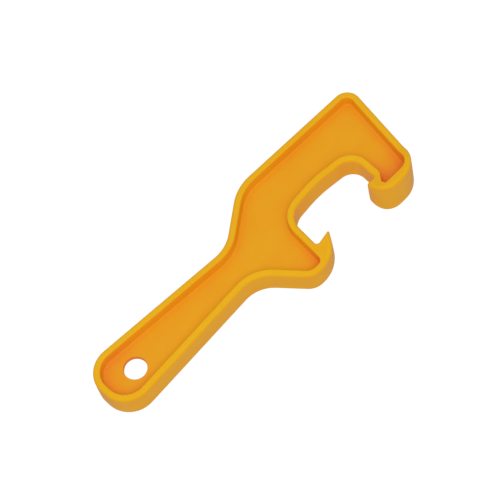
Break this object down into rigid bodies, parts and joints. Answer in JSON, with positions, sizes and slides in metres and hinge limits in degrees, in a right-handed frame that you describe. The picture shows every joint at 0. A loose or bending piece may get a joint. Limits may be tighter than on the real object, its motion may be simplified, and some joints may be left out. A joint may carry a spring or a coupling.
{
  "type": "pail wrench",
  "caption": "Moulded plastic pail and lid wrench: ribbed flat handle with a hanging hole, arm with a wide hooked lip, open mouth and a pointed prying claw.",
  "frame": {"origin": "centre of the hanging hole, midway through the thickness", "axes": "+X along the handle from the hanging hole towards the head, mouth opening towards -Y, +Z through the thickness, along the hanging hole"},
  "size_m": [0.2601, 0.084, 0.0306],
  "materials": {
    "web_plastic": "satin",
    "rim_plastic": "satin"
  },
  "bodies": {
    "root": {"handle_web": "web_plastic", "head_web": "web_plastic", "handle_end_rim": "rim_plastic", "handle_back_rim": "rim_plastic", "handle_belly_rim": "rim_plastic", "heel_rim": "rim_plastic", "back_rim": "rim_plastic", "crown_rim": "rim_plastic", "hook_lip": "rim_plastic", "jaw_roof_rim": "rim_plastic", "jaw_throat_rim": "rim_plastic", "pry_claw": "rim_plastic"}
  },
  "joints": []
}
